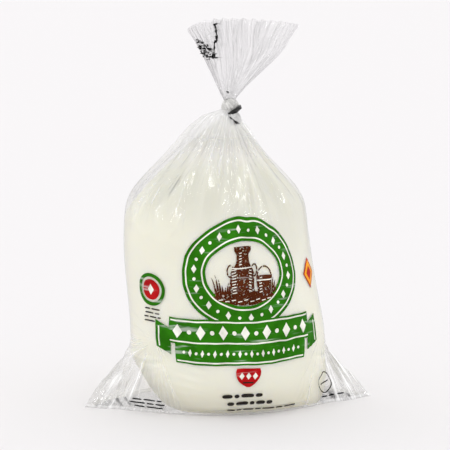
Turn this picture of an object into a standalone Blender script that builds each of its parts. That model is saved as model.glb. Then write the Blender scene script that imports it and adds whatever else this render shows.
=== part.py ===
"""A ball of mozzarella in its whey, shut in a clear film bag with a knotted neck, as one closed solid.

The filled bag stands on its sealed bottom edge like a pillow on its end. Its bottom corners are empty
and flat, its shoulders are gathered into a knot, and the pleated end of the film flares above the knot.
X runs along the bag's flat width, the front faces -Y, and Z is up from the surface that it stands on.
"""
import math
from collections import namedtuple

import bmesh
import bpy

MM = 0.001

# Every cross-section of the bag is one ring of this many points, from +X round by the back.
RING_POINTS = 96

# A cross-section of the filled part, in millimetres: its height, how far it reaches to the left and to
# the right of the neck's axis, its half depth from front to back, and how much its sides are pinched.
# A pinch of 1 is an ellipse; above 1 the two walls run together into a flat edge at each side.
Level = namedtuple("Level", "height left right depth pinch")
BODY_LEVELS = (
    Level(height=0.0, left=81.0, right=79.5, depth=37.0, pinch=2.4),
    Level(height=4.0, left=78.3, right=75.7, depth=41.5, pinch=2.3),
    Level(height=12.0, left=71.8, right=68.6, depth=44.8, pinch=2.0),
    Level(height=22.0, left=63.0, right=60.0, depth=46.6, pinch=1.5),
    Level(height=30.0, left=56.0, right=54.0, depth=47.0, pinch=1.12),
    Level(height=38.0, left=54.6, right=52.6, depth=47.0, pinch=1.0),
    Level(height=68.0, left=56.0, right=48.0, depth=46.0, pinch=1.0),
    Level(height=95.0, left=57.8, right=43.5, depth=43.0, pinch=1.0),
    Level(height=112.0, left=56.0, right=40.2, depth=37.0, pinch=1.1),
    Level(height=125.0, left=48.0, right=31.9, depth=29.5, pinch=1.3),
    Level(height=138.0, left=37.5, right=21.5, depth=20.0, pinch=1.6),
    Level(height=150.0, left=27.5, right=12.5, depth=11.0, pinch=1.7),
    Level(height=157.5, left=17.5, right=5.6, depth=6.2, pinch=1.4),
    Level(height=161.5, left=3.4, right=4.0, depth=3.6, pinch=1.0),
)
BODY_HEIGHTS = (
    0.0, 1.3, 4.0, 8.0, 13.0, 18.0, 23.0, 27.0, 30.0, 34.0, 42.0, 54.0, 68.0, 82.0, 95.0,
    104.0, 112.0, 119.0, 125.0, 131.0, 137.0, 143.0, 149.0, 154.0, 157.5, 160.0, 161.5,
)

# Both film layers together are this thick where the bag is flat.
FLAT_FILM = 1.4

# The flat bottom corners wave from front to back, most at their tips.
CORNER_WAVE = 2.4
CORNER_WAVE_LENGTH = 34.0
CORNER_WAVE_LEAN = 15.0
CORNER_START = 42.0
CORNER_TIP = 80.0
CORNER_TOP = 31.0

# Folds run down the shoulders from the knot and fade out where the bag is full. They drift to and fro
# along the ring, so that no two of them are alike.
FOLD_COUNT = 15
FOLD_DEPTH = 1.1
FOLD_DRIFT = 1.4
FOLD_DRIFT_TURNS = 3
FOLDS_FADE_AT = 92.0
FOLDS_FULL_AT = 132.0
FOLD_AT_NECK = 0.45

# The loose end of the film above the knot: the same measures, and the depth of its pleats. Its rim
# arches up in the middle of the front and back, and steps up and down three times round.
Flare = namedtuple("Flare", "height left right depth pleat")
FLARE_LEVELS = (
    Flare(height=166.0, left=3.2, right=4.2, depth=3.6, pleat=0.2),
    Flare(height=172.0, left=4.4, right=7.2, depth=4.8, pleat=0.6),
    Flare(height=179.0, left=7.0, right=14.2, depth=7.4, pleat=1.2),
    Flare(height=186.0, left=10.8, right=22.6, depth=9.4, pleat=1.8),
    Flare(height=195.0, left=13.6, right=29.6, depth=11.0, pleat=2.4),
    Flare(height=207.5, left=21.4, right=37.0, depth=12.0, pleat=3.2),
)
FLARE_SHARES = (0.0, 0.12, 0.22, 0.32, 0.44, 0.57, 0.7, 0.85, 1.0)
HOLLOW_FROM_SHARE = 0.32
PLEAT_COUNT = 16
FLARE_WALL = 1.2
RIM_ARCH = 2.4
RIM_STEP = 0.7
RIM_STEPS = 3
RIM_SHAPE_POWER = 4

# The knot: the film's rope as a tilted barrel round the neck, the turn that binds it, and the loop
# tucked under that turn at the front. Centres, half sizes and tilts are in millimetres and degrees.
BARREL_CENTRE = (1.0, 0.0, 164.2)
BARREL_HALF_SIZE = (5.2, 4.5, 4.4)
LOOP_CENTRE = (3.2, -2.6, 158.6)
LOOP_HALF_SIZE = (3.4, 3.2, 3.9)
TURN_CENTRE = (1.7, -0.3, 161.4)
TURN_RADIUS = 3.9
TURN_THICKNESS = 1.5
KNOT_TILT = -27.0
LUMP_SEGMENTS = 20
LUMP_RINGS = 10

BAG_NAME = "filled_bag"
MILKY_FILM = (0.80, 0.79, 0.72, 1.0)
MILKY_FILM_ROUGHNESS = 0.22


def clear_scene():
    for item in list(bpy.data.objects):
        bpy.data.objects.remove(item, do_unlink=True)


def ease(start, end, value):
    """0 up to start, 1 from end on, and a smooth step between them."""
    share = min(max((value - start) / (end - start), 0.0), 1.0)
    return share * share * (3.0 - 2.0 * share)


def slope_at(levels, index, field):
    """The change of one measure with height at a level, taken from the levels on both sides."""
    low = levels[max(index - 1, 0)]
    high = levels[min(index + 1, len(levels) - 1)]
    return (getattr(high, field) - getattr(low, field)) / (high.height - low.height)


def measure(levels, height, field):
    """One measure of the bag at any height, on a smooth curve through the levels."""
    height = min(max(height, levels[0].height), levels[-1].height)
    index = 0
    while index < len(levels) - 2 and height > levels[index + 1].height:
        index += 1
    low, high = levels[index], levels[index + 1]
    span = high.height - low.height
    share = (height - low.height) / span
    start, end = getattr(low, field), getattr(high, field)
    start_slope = slope_at(levels, index, field) * span
    end_slope = slope_at(levels, index + 1, field) * span
    return (
        start * (1.0 + 2.0 * share) * (1.0 - share) ** 2
        + start_slope * share * (1.0 - share) ** 2
        + end * share ** 2 * (3.0 - 2.0 * share)
        + end_slope * share ** 2 * (share - 1.0)
    )


def ring_angles():
    """No point lies on the side edge itself, so both film layers keep their thickness there."""
    return [math.tau * (index + 0.5) / RING_POINTS for index in range(RING_POINTS)]


def corner_wave(x, height):
    """How far the flat corner film stands in front of or behind the bag's middle plane."""
    reach = ease(CORNER_START, CORNER_TIP, abs(x)) * (1.0 - ease(0.0, CORNER_TOP, height))
    phase = math.tau * x / CORNER_WAVE_LENGTH + height / CORNER_WAVE_LEAN
    return CORNER_WAVE * reach * math.sin(phase)


def fold_height(angle, height):
    """How far a gathered fold stands out of the shoulder at this angle."""
    grown = ease(FOLDS_FADE_AT, FOLDS_FULL_AT, height)
    neck = 1.0 - (1.0 - FOLD_AT_NECK) * ease(FOLDS_FULL_AT, BODY_LEVELS[-1].height, height)
    drift = FOLD_DRIFT * math.sin(FOLD_DRIFT_TURNS * angle + 1.0)
    return FOLD_DEPTH * grown * neck * math.cos(FOLD_COUNT * angle + drift)


def body_point(angle, height):
    left = measure(BODY_LEVELS, height, "left")
    right = measure(BODY_LEVELS, height, "right")
    depth = measure(BODY_LEVELS, height, "depth")
    pinch = measure(BODY_LEVELS, height, "pinch")
    side, front = math.cos(angle), math.sin(angle)
    x = 0.5 * (right - left) + 0.5 * (right + left) * side
    y = math.copysign(depth * abs(front) ** pinch + 0.5 * FLAT_FILM, front)
    fold = fold_height(angle, height)
    return (x + fold * side, y + fold * front + corner_wave(x, height), height)


def flare_point(angle, share, inset):
    """A point of the pleated end, at a share of the way from the knot to its rim."""
    foot, rim = FLARE_LEVELS[0].height, FLARE_LEVELS[-1].height
    level = foot + share * (rim - foot)
    left = measure(FLARE_LEVELS, level, "left")
    right = measure(FLARE_LEVELS, level, "right")
    depth = measure(FLARE_LEVELS, level, "depth")
    pleat = measure(FLARE_LEVELS, level, "pleat")
    half = 0.5 * (right + left)
    side, front = math.cos(angle), math.sin(angle)
    across, along = depth * side, half * front
    steep = math.hypot(across, along)
    out = pleat * math.cos(PLEAT_COUNT * angle + math.sin(2.0 * angle)) - inset
    rise = RIM_ARCH * front ** 2 + RIM_STEP * math.cos(RIM_STEPS * angle)
    return (
        0.5 * (right - left) + half * side + out * across / steep,
        depth * front + out * along / steep,
        level + rise * share ** RIM_SHAPE_POWER,
    )


def bag_rings():
    """Rings of points up the outside of the bag, over the rim of its flared end and down inside it."""
    angles = ring_angles()
    rings = [[body_point(angle, height) for angle in angles] for height in BODY_HEIGHTS]
    rings += [[flare_point(angle, share, 0.0) for angle in angles] for share in FLARE_SHARES]
    inner_shares = [share for share in reversed(FLARE_SHARES) if share >= HOLLOW_FROM_SHARE]
    rings += [[flare_point(angle, share, FLARE_WALL) for angle in angles] for share in inner_shares]
    return rings


def loft(name, rings):
    """One closed mesh through the rings, with a face at its first ring and one at its last."""
    mesh = bpy.data.meshes.new(name)
    builder = bmesh.new()
    rows = [[builder.verts.new([MM * value for value in point]) for point in ring] for ring in rings]
    for lower, upper in zip(rows, rows[1:]):
        for index in range(RING_POINTS):
            following = (index + 1) % RING_POINTS
            builder.faces.new((lower[index], lower[following], upper[following], upper[index]))
    builder.faces.new(list(reversed(rows[0])))
    builder.faces.new(rows[-1])
    bmesh.ops.recalc_face_normals(builder, faces=builder.faces)
    builder.to_mesh(mesh)
    builder.free()
    return bpy.data.objects.new(name, mesh)


def keep_in(collection, name):
    """Moves the shape that was just added into a collection, with its size and tilt in its mesh."""
    shape = bpy.context.object
    shape.name = name
    for home in list(shape.users_collection):
        home.objects.unlink(shape)
    collection.objects.link(shape)
    bpy.ops.object.transform_apply(location=True, rotation=True, scale=True)


def knot_lump(collection, name, centre, half_size):
    bpy.ops.mesh.primitive_uv_sphere_add(
        segments=LUMP_SEGMENTS,
        ring_count=LUMP_RINGS,
        radius=MM,
        location=[MM * value for value in centre],
        rotation=(0.0, math.radians(KNOT_TILT), 0.0),
        scale=half_size,
    )
    keep_in(collection, name)


def knot_turn(collection):
    bpy.ops.mesh.primitive_torus_add(
        major_segments=LUMP_SEGMENTS,
        minor_segments=LUMP_RINGS,
        major_radius=MM * TURN_RADIUS,
        minor_radius=MM * TURN_THICKNESS,
        location=[MM * value for value in TURN_CENTRE],
        rotation=(0.0, math.radians(KNOT_TILT), 0.0),
    )
    keep_in(collection, "turn")


def join_collection(target, joined):
    """Fuses every object of a collection into the target, and removes them."""
    fuse = target.modifiers.new("Fuse", "BOOLEAN")
    fuse.operation = "UNION"
    fuse.operand_type = "COLLECTION"
    fuse.collection = joined
    fuse.solver = "EXACT"
    depsgraph = bpy.context.evaluated_depsgraph_get()
    fused = bpy.data.meshes.new_from_object(target.evaluated_get(depsgraph))
    target.modifiers.clear()
    target.data = fused
    for item in list(joined.objects):
        bpy.data.objects.remove(item, do_unlink=True)
    bpy.data.collections.remove(joined)


def milky_film():
    material = bpy.data.materials.new("milky_film")
    material.use_nodes = True
    shader = material.node_tree.nodes["Principled BSDF"]
    shader.inputs["Base Color"].default_value = MILKY_FILM
    shader.inputs["Roughness"].default_value = MILKY_FILM_ROUGHNESS
    shader.inputs["Metallic"].default_value = 0.0
    return material


def new_collection(name):
    collection = bpy.data.collections.new(name)
    bpy.context.scene.collection.children.link(collection)
    return collection


def main():
    clear_scene()
    parts = new_collection("bagged_mozzarella")
    bag = loft(BAG_NAME, bag_rings())
    parts.objects.link(bag)
    joined = new_collection("fused_film")
    knot_lump(joined, "barrel", BARREL_CENTRE, BARREL_HALF_SIZE)
    knot_lump(joined, "tucked_loop", LOOP_CENTRE, LOOP_HALF_SIZE)
    knot_turn(joined)
    join_collection(bag, joined)
    bag.data.materials.clear()
    bag.data.materials.append(milky_film())
    bag.data.shade_smooth()
    bag.data.set_sharp_from_angle(angle=math.radians(50.0))


main()
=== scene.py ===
# %% [markdown]
# # A mozzarella ball in its knotted bag
# A fresh mozzarella ball is sold in a clear film bag full of milky whey. The bag is a flat tube, sealed
# along its bottom edge, filled, and tied in a knot. Standing up it is a pillow on its end: two empty flat
# corners at the foot, gathered shoulders, a knot, and a pleated loose end above it.
# The imported model gives the outer form, so the first step is to load it.

# %% Load the frame
import math
import random

import bpy
import numpy as np
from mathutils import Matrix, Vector
from mathutils.bvhtree import BVHTree


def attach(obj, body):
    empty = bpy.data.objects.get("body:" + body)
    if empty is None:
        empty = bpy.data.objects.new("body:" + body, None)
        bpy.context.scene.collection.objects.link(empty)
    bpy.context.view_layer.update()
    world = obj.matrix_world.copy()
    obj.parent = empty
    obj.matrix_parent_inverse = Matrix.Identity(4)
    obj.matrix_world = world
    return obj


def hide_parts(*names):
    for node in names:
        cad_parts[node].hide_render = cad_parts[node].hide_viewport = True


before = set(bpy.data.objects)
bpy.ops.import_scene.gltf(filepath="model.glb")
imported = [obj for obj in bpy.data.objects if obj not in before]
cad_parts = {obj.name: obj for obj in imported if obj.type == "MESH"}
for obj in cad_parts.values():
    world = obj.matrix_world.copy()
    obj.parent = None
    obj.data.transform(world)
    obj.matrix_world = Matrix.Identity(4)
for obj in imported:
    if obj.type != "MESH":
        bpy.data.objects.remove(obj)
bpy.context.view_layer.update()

bag_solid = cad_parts["filled_bag"]
MM = 0.001

# %% [markdown]
# The camera comes first, because every finish is judged from it. A product picture like this one is
# taken from far away with a long lens, a little to the left of the front and slightly from above.

# %% The camera
CAMERA_TURN = math.radians(-12.0)
CAMERA_RISE = math.radians(9.0)
CAMERA_AWAY = 1.5
PICTURE_WIDTH = 0.2463
AIM = Vector((-0.0021, 0.0, 0.0977))

backwards = Vector((
    math.sin(CAMERA_TURN) * math.cos(CAMERA_RISE),
    -math.cos(CAMERA_TURN) * math.cos(CAMERA_RISE),
    math.sin(CAMERA_RISE),
))
bpy.ops.object.camera_add(location=AIM + CAMERA_AWAY * backwards)
camera = bpy.context.object
camera.rotation_euler = backwards.to_track_quat("Z", "Y").to_euler()
camera.data.lens = camera.data.sensor_width * CAMERA_AWAY / PICTURE_WIDTH
bpy.context.scene.camera = camera
print("lens", round(camera.data.lens), "mm")

# %% [markdown]
# A wide pale floor fills the picture to its top, because the camera looks down on it, so there is no
# horizon line. The room itself is white and gives nearly all the light. A very soft panel high behind
# the bag lays a faint shadow in front of it. Three narrow lamps are there for the film's creases only,
# which catch them as long thin highlights.

# %% Floor and light
FLOOR_SIDE = 14.0
FLOOR_WHITE = (0.768, 0.754, 0.761, 1.0)
ROOM_WHITE = (1.0, 0.996, 0.998, 1.0)
ROOM_LIGHT = 1.205


def deselect_all():
    for item in bpy.context.selected_objects:
        item.select_set(False)


def edit(action):
    """Runs one action in edit mode on the active object."""
    bpy.ops.object.mode_set(mode="EDIT")
    action()
    bpy.ops.object.mode_set(mode="OBJECT")


def new_finish(name):
    """A new material and its node tree."""
    material = bpy.data.materials.new(name)
    material.use_nodes = True
    return material, material.node_tree


def fill(tree, made, inputs):
    """Sets a node's inputs: by a link where a socket is given, else by the plain value."""
    for key, value in inputs.items():
        if isinstance(value, bpy.types.NodeSocket):
            tree.links.new(value, made.inputs[key])
        else:
            made.inputs[key].default_value = value
    return made


def add(tree, kind, inputs, **settings):
    """Adds one shader node with its settings and inputs."""
    made = tree.nodes.new("ShaderNode" + kind)
    for key, value in settings.items():
        setattr(made, key, value)
    return fill(tree, made, inputs)


deselect_all()
bpy.ops.mesh.primitive_plane_add(size=FLOOR_SIDE)
floor = bpy.context.object
floor.name = "floor"
floor_paper, tree = new_finish("floor_paper")
paper_inputs = {"Base Color": FLOOR_WHITE, "Roughness": 0.9, "Specular IOR Level": 0.1}
fill(tree, tree.nodes["Principled BSDF"], paper_inputs)
floor.data.materials.append(floor_paper)

world = bpy.data.worlds.new("white_room")
world.use_nodes = True
fill(world.node_tree, world.node_tree.nodes["Background"], {"Color": ROOM_WHITE, "Strength": ROOM_LIGHT})
bpy.context.scene.world = world
bpy.context.scene.view_settings.view_transform = "Standard"

# Each narrow lamp: its name, place, width, height and power. It faces the middle of the bag.
STRIP_LAMPS = (
    ("lamp_left", (-1.15, -0.75, 0.80), 0.08, 0.45, 1.7),
    ("lamp_right", (1.10, -0.80, 0.70), 0.07, 0.40, 1.4),
    ("lamp_above", (0.10, -0.75, 1.25), 0.42, 0.14, 2.4),
)
for name, place, width, height, power in STRIP_LAMPS:
    bpy.ops.object.light_add(type="AREA", location=place)
    lamp = bpy.context.object
    lamp.name = name
    lamp.data.shape = "RECTANGLE"
    lamp.data.size = width
    lamp.data.size_y = height
    lamp.data.energy = power
    lamp.visible_diffuse = False
    lamp.rotation_euler = (Vector(place) - AIM).to_track_quat("Z", "Y").to_euler()
bpy.ops.object.light_add(type="SUN", rotation=(math.radians(-32.0), math.radians(-8.0), 0.0))
sky_panel = bpy.context.object
sky_panel.name = "soft_panel_behind"
sky_panel.data.energy = 0.10
sky_panel.data.angle = math.radians(50.0)

# %% [markdown]
# Film follows whatever fills it, so the film, the whey and the print all start from one measure: how far
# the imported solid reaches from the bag's upright axis, in any direction and at any height. It is read
# with rays at the solid's own rings, smoothed a little, and joined by smooth curves between the rings.
# Directions are crowded towards the sides, where the flat corners are only a film thick.

# %% How far the bag reaches
SIDE_CROWDING = 0.75
TURNS = 720
NECK_HEIGHT = 157.6 * MM
RAY_START = 0.13
LOWEST_RAY = 0.2 * MM
LEVEL_STEP = 0.1 * MM
FEWEST_ON_A_RING = 60
SMOOTHING_ROUNDS = 6


def crowd(turn):
    """The direction of a turn, both in radians, with more turns near the two flat sides."""
    return turn - 0.5 * SIDE_CROWDING * np.sin(2.0 * turn)


def outward(direction):
    return Vector((math.cos(direction), math.sin(direction), 0.0))


def reach_by_ray(tree, direction, height):
    outwards = outward(direction)
    start = outwards * RAY_START + Vector((0.0, 0.0, max(height, LOWEST_RAY)))
    hit = tree.ray_cast(start, -outwards)
    return 0.0 if hit[0] is None else RAY_START - hit[3]


solid_points = np.array([vertex.co for vertex in bag_solid.data.vertices])
levels, counts = np.unique(np.round(solid_points[:, 2] / LEVEL_STEP), return_counts=True)
ring_heights = np.array([
    level * LEVEL_STEP
    for level, count in zip(levels, counts)
    if count > FEWEST_ON_A_RING and level * LEVEL_STEP < NECK_HEIGHT
])
solid_tree = BVHTree.FromObject(bag_solid, bpy.context.evaluated_depsgraph_get())
sample_turns = np.arange(TURNS) * math.tau / TURNS
reach_table = np.array([
    [reach_by_ray(solid_tree, direction, height) for direction in crowd(sample_turns)]
    for height in ring_heights
])
SOFTENING = np.array([1.0, 4.0, 6.0, 4.0, 1.0]) / 16.0
for _ in range(SMOOTHING_ROUNDS):
    reach_table = sum(
        share * np.roll(reach_table, shift, axis=1) for share, shift in zip(SOFTENING, range(-2, 3))
    )
slope_table = np.gradient(reach_table, ring_heights, axis=0)


def reach(turn, height):
    """The bag's reach from its axis, on smooth curves between the rings."""
    place = np.mod(turn / math.tau * TURNS, TURNS)
    left = np.floor(place).astype(int) % TURNS
    right = (left + 1) % TURNS
    between = place - np.floor(place)
    low = np.clip(np.searchsorted(ring_heights, height, side="right") - 1, 0, len(ring_heights) - 2)
    span = ring_heights[low + 1] - ring_heights[low]
    share = np.clip((height - ring_heights[low]) / span, 0.0, 1.0)

    def at(table, row):
        return table[row, left] * (1.0 - between) + table[row, right] * between

    return (
        at(reach_table, low) * (1.0 + 2.0 * share) * (1.0 - share) ** 2
        + at(slope_table, low) * span * share * (1.0 - share) ** 2
        + at(reach_table, low + 1) * share ** 2 * (3.0 - 2.0 * share)
        + at(slope_table, low + 1) * span * share ** 2 * (share - 1.0)
    )


print("rings:", len(ring_heights), "widest reach:", round(1000 * reach_table.max(), 1), "mm")

# %% [markdown]
# Gathered film folds run down from the knot: narrow and close at the neck, broad and soft where the bag
# fills out, and no two alike. Each fold here is a ridge or a furrow with its own direction, length, lean
# and height, drawn once from a seeded list. The flat corners have creases that fan out from their tops,
# and small wrinkles lie beside both corners, where the film is pulled over the full part.

# %% Wrinkles in the film
FOLDS = 90
FOLD_DROP = 70.0 * MM
FOLD_FADE = 22.0 * MM
NECK_FOLD_WIDTH = 0.7 * MM
NECK_REACH = 2.4 * MM
SHOULDER_SLACK = 0.15
CORNER_APEX = (54.0 * MM, 31.0 * MM)
draw = random.Random(11)
fold_list = [
    dict(
        direction=draw.uniform(0.0, math.tau),
        foot=draw.uniform(96.0, 140.0) * MM,
        lean=draw.uniform(-0.35, 0.35),
        width=draw.uniform(1.0, 3.4) * MM,
        height=draw.uniform(0.25, 0.95) * MM * draw.choice((1.0, 1.0, -0.8)),
    )
    for _ in range(FOLDS)
]

# Each crest: its direction in degrees, middle, length and width, its lean, and how tall it stands.
CRESTS = (
    (-54.0, 123.0, 10.0, 3.6, 0.6, 1.3),
    (-64.0, 132.0, 12.0, 2.4, 0.3, 1.1),
    (-36.0, 140.0, 17.0, 3.4, 0.2, 1.6),
    (-21.0, 136.0, 9.0, 2.4, 0.1, 1.3),
    (-3.0, 121.0, 8.0, 2.2, 0.0, 0.9),
    (12.0, 131.0, 15.0, 4.2, -0.5, 2.0),
    (26.0, 141.0, 12.0, 2.2, -0.2, 1.2),
    (42.0, 124.0, 12.0, 3.0, -0.5, 1.1),
    (58.0, 116.0, 11.0, 2.4, -0.3, 0.8),
    (-75.0, 112.0, 11.0, 2.6, 0.3, 0.9),
    (-44.0, 108.0, 9.0, 2.0, 0.5, 0.6),
    (30.0, 112.0, 10.0, 2.0, -0.4, 0.6),
)


def ease(start, end, value):
    """0 up to start, 1 from end on, and a smooth step between them."""
    share = np.clip((value - start) / (end - start), 0.0, 1.0)
    return share * share * (3.0 - 2.0 * share)


def turned_from(middle, direction):
    """The angle from a middle direction, between minus and plus half a turn."""
    return np.mod(direction - middle + math.pi, math.tau) - math.pi


def crests(direction, height, radius):
    """The few short sharp crests on the front, each at its place."""
    total = np.zeros_like(radius)
    for degrees, middle, length, width, lean, tall in CRESTS:
        along = (height / MM - middle) / length
        away = turned_from(np.radians(degrees - 90.0 + lean * 10.0 * along), direction)
        total += tall * MM * np.exp(-np.abs(away * radius / (width * MM)) ** 1.7 - along ** 4)
    return total


def shoulder_folds(direction, height, radius):
    """All ridges and furrows of the shoulders; each fades out at its foot and softens at the neck."""
    total = crests(direction, height, radius)
    for fold in fold_list:
        down = (NECK_HEIGHT - height) / FOLD_DROP
        away = turned_from(fold["direction"] + fold["lean"] * down, direction)
        width = NECK_FOLD_WIDTH + (fold["width"] - NECK_FOLD_WIDTH) * np.clip(down * 1.8, 0.0, 1.0)
        ridge = np.exp(-np.abs(away * radius / width) ** 1.4)
        neck_fade = 0.35 + 0.65 * ease(0.0, FOLD_FADE, NECK_HEIGHT - height)
        total += fold["height"] * ridge * neck_fade * ease(fold["foot"], fold["foot"] + FOLD_FADE, height)
    return total


def corner_creases(direction, height, radius):
    """Creases that fan out over the empty corners from their tops."""
    x = np.abs(radius * np.cos(direction))
    fan = np.arctan2(CORNER_APEX[1] - height, x - CORNER_APEX[0] + 22.0 * MM)
    empty = ease(36.0 * MM, 50.0 * MM, x) * (1.0 - ease(26.0 * MM, 33.0 * MM, height))
    waves = np.sin(13.0 * fan + 2.0 * np.sin(5.0 * fan)) + 0.7 * np.sin(29.0 * fan + 90.0 * x)
    crumple = np.sin(260.0 * x + 3.0 * np.sin(190.0 * height)) * np.sin(330.0 * height + 140.0 * x)
    return 0.42 * MM * empty * (waves + 0.5 * crumple) * ease(0.0, 5.0 * MM, height)


def corner_wrinkles(direction, height, radius):
    """Short slanting wrinkles on the full part beside each corner."""
    left = np.exp(-((direction - math.radians(231.0) - 3.0 * (height - 0.018)) / 0.20) ** 2)
    right = np.exp(-((direction - math.radians(319.0)) / 0.17) ** 2)
    low = ease(2.0 * MM, 8.0 * MM, height) * (1.0 - ease(32.0 * MM, 46.0 * MM, height))
    slant = np.sin(math.tau * (height + 0.55 * direction * radius) / (5.2 * MM) + np.sin(160.0 * height))
    upright = np.sin(math.tau * (direction * radius - 0.25 * height) / (4.6 * MM) + np.sin(120.0 * height))
    return 0.26 * MM * low * (slant * left + upright * right)


def slack(direction, height):
    """The faint unevenness that all thin film has, even where it is full."""
    return 0.22 * MM * (
        np.sin(3.0 * direction + 70.0 * height)
        + np.sin(5.0 * direction - 110.0 * height + 1.0)
        + 0.5 * np.sin(11.0 * direction + 60.0 * height + 2.0)
    )


def film_reach(turn, height):
    direction = crowd(turn)
    base = reach(turn, np.minimum(height, NECK_HEIGHT))
    base = base * (1.0 - SHOULDER_SLACK * ease(116.0 * MM, 150.0 * MM, height) * np.cos(direction) ** 2)
    folds = shoulder_folds(direction, height, base)
    creases = corner_creases(direction, height, base) + corner_wrinkles(direction, height, base)
    lifted = base + folds + creases + slack(direction, height) * ease(4.0 * MM, 20.0 * MM, height)
    neck = ease(NECK_HEIGHT, NECK_HEIGHT + 5.0 * MM, height)
    return lifted * (1.0 - neck) + NECK_REACH * neck


print("folds drawn:", len(fold_list))

# %% [markdown]
# A skin is made as a tailor would make it: a flat sheet of even squares is laid round the bag, its two
# edges are sewn by merging their points, and the open ends are closed. The sheet is the grid primitive,
# so it brings even squares and its own UV map with it.

# %% Laying a sheet round the bag
SEW_DISTANCE = 0.00002


def pick_only(piece):
    deselect_all()
    bpy.context.view_layer.objects.active = piece
    piece.select_set(True)


def apply_all_modifiers(piece):
    pick_only(piece)
    for modifier in list(piece.modifiers):
        bpy.ops.object.modifier_apply(modifier=modifier.name)


def lay_sheet(name, columns, rows, place):
    """A grid whose points go where place(u, v) says, with u and v arrays from 0 to 1."""
    deselect_all()
    bpy.ops.mesh.primitive_grid_add(x_subdivisions=columns, y_subdivisions=rows, size=1.0)
    sheet = bpy.context.object
    sheet.name = name
    flat = np.empty(3 * len(sheet.data.vertices))
    sheet.data.vertices.foreach_get("co", flat)
    flat = flat.reshape(-1, 3)
    laid = np.stack(place(flat[:, 0] + 0.5, flat[:, 1] + 0.5), axis=1)
    sheet.data.vertices.foreach_set("co", laid.ravel())
    sheet.data.update()
    return sheet


def sew_and_close(piece, close_ends=True):
    """Merges the meeting edges, fills the open ends and turns all faces outwards."""
    def sew():
        bpy.ops.mesh.select_all(action="SELECT")
        bpy.ops.mesh.remove_doubles(threshold=SEW_DISTANCE)
        if close_ends:
            bpy.ops.mesh.select_all(action="DESELECT")
            bpy.ops.mesh.select_mode(type="EDGE")
            bpy.ops.mesh.select_non_manifold(extend=False)
            bpy.ops.mesh.fill_holes(sides=0)
        bpy.ops.mesh.select_all(action="SELECT")
        bpy.ops.mesh.normals_make_consistent(inside=False)

    pick_only(piece)
    edit(sew)
    bpy.ops.object.shade_smooth()


print("edges are sewn where they are nearer than", round(SEW_DISTANCE / MM, 3), "mm")

# %% [markdown]
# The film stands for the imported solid. It follows the measured reach with all its folds, from the sealed
# bottom edge up into the knot. The empty corner at the right doesn't stand quite flat on a table: it
# bends a little forward towards its tip, so the sheet bends there too.

# %% The film
FILM_COLUMNS, FILM_ROWS = 480, 196
FILM_TOP = NECK_HEIGHT + 5.0 * MM
CORNER_BEND = 9.0 * MM


def place_film(u, v):
    turn = math.tau * u + 0.5 * math.pi
    height = FILM_TOP * v
    radius = film_reach(turn, height)
    direction = crowd(turn)
    across = radius * np.cos(direction)
    bend = CORNER_BEND * ease(52.0 * MM, 80.0 * MM, across) * (1.0 - ease(6.0 * MM, 42.0 * MM, height))
    return across, radius * np.sin(direction) - bend, height


film = lay_sheet("film", FILM_COLUMNS, FILM_ROWS, place_film)
sew_and_close(film)
print("film faces:", len(film.data.polygons))

# %% [markdown]
# The whey fills the film wherever film isn't pressed flat: it stops short of the bottom corners and of
# the flat strips at the sides of the shoulders. So its reach is the smaller of two, blended softly where
# they meet: the film's, less a hair, and an ellipse that is narrower at the foot and at the shoulders.

# %% The whey
WHEY_GAP = 0.35 * MM
WHEY_FOOT = 0.5 * MM
WHEY_TOP = 157.0 * MM
WHEY_COLUMNS, WHEY_ROWS = 320, 140
DEEPER_THAN_FILM = 1.2
CORNER_SHARPNESS = 24
# Each row: a height, and how far the whey may go to the left and to the right there.
WHEY_EDGES = MM * np.array([
    (0.0, 37.0, 50.0), (4.0, 40.5, 52.0), (8.0, 43.5, 53.0), (20.0, 50.5, 54.0), (27.0, 54.5, 54.5),
    (33.0, 58.0, 57.0), (40.0, 80.0, 80.0), (100.0, 80.0, 80.0), (104.0, 62.0, 60.0), (111.0, 53.5, 43.5),
    (125.0, 40.5, 30.0), (138.0, 27.0, 19.5), (148.0, 16.0, 11.0), (156.0, 5.0, 4.5),
])
FRONT_TURN = 1.5 * math.pi


def whey_reach(turn, height):
    direction = crowd(turn)
    left, right = [np.interp(height, WHEY_EDGES[:, 0], WHEY_EDGES[:, column]) for column in (1, 2)]
    middle, half = 0.5 * (right - left), 0.5 * (right + left)
    deep = DEEPER_THAN_FILM * reach(np.full_like(turn, FRONT_TURN), height)
    side, front = np.cos(direction), np.sin(direction)
    a = (side / half) ** 2 + (front / deep) ** 2
    b = middle * side / half ** 2
    c = (middle / half) ** 2 - 1.0
    ellipse = (b + np.sqrt(b * b - a * c)) / a
    skin = film_reach(turn, height) - WHEY_GAP
    return (ellipse ** -CORNER_SHARPNESS + skin ** -CORNER_SHARPNESS) ** (-1.0 / CORNER_SHARPNESS)


def place_whey(u, v):
    turn = math.tau * u + 0.5 * math.pi
    height = WHEY_FOOT + (WHEY_TOP - WHEY_FOOT) * v
    radius = whey_reach(turn, height)
    direction = crowd(turn)
    return radius * np.cos(direction), radius * np.sin(direction), height


whey = lay_sheet("whey", WHEY_COLUMNS, WHEY_ROWS, place_whey)
sew_and_close(whey)
print("whey faces:", len(whey.data.polygons))

# %% [markdown]
# The ball itself is nearly as wide as the bag. A pulled mozzarella ball is a little flattened by its
# bag and keeps a small nub on top, where it was pinched off the curd.

# %% The ball
BALL_CENTRE = Vector((-2.5, 0.0, 50.0)) * MM
BALL_HALF = Vector((48.5, 43.5, 46.5)) * MM

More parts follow.
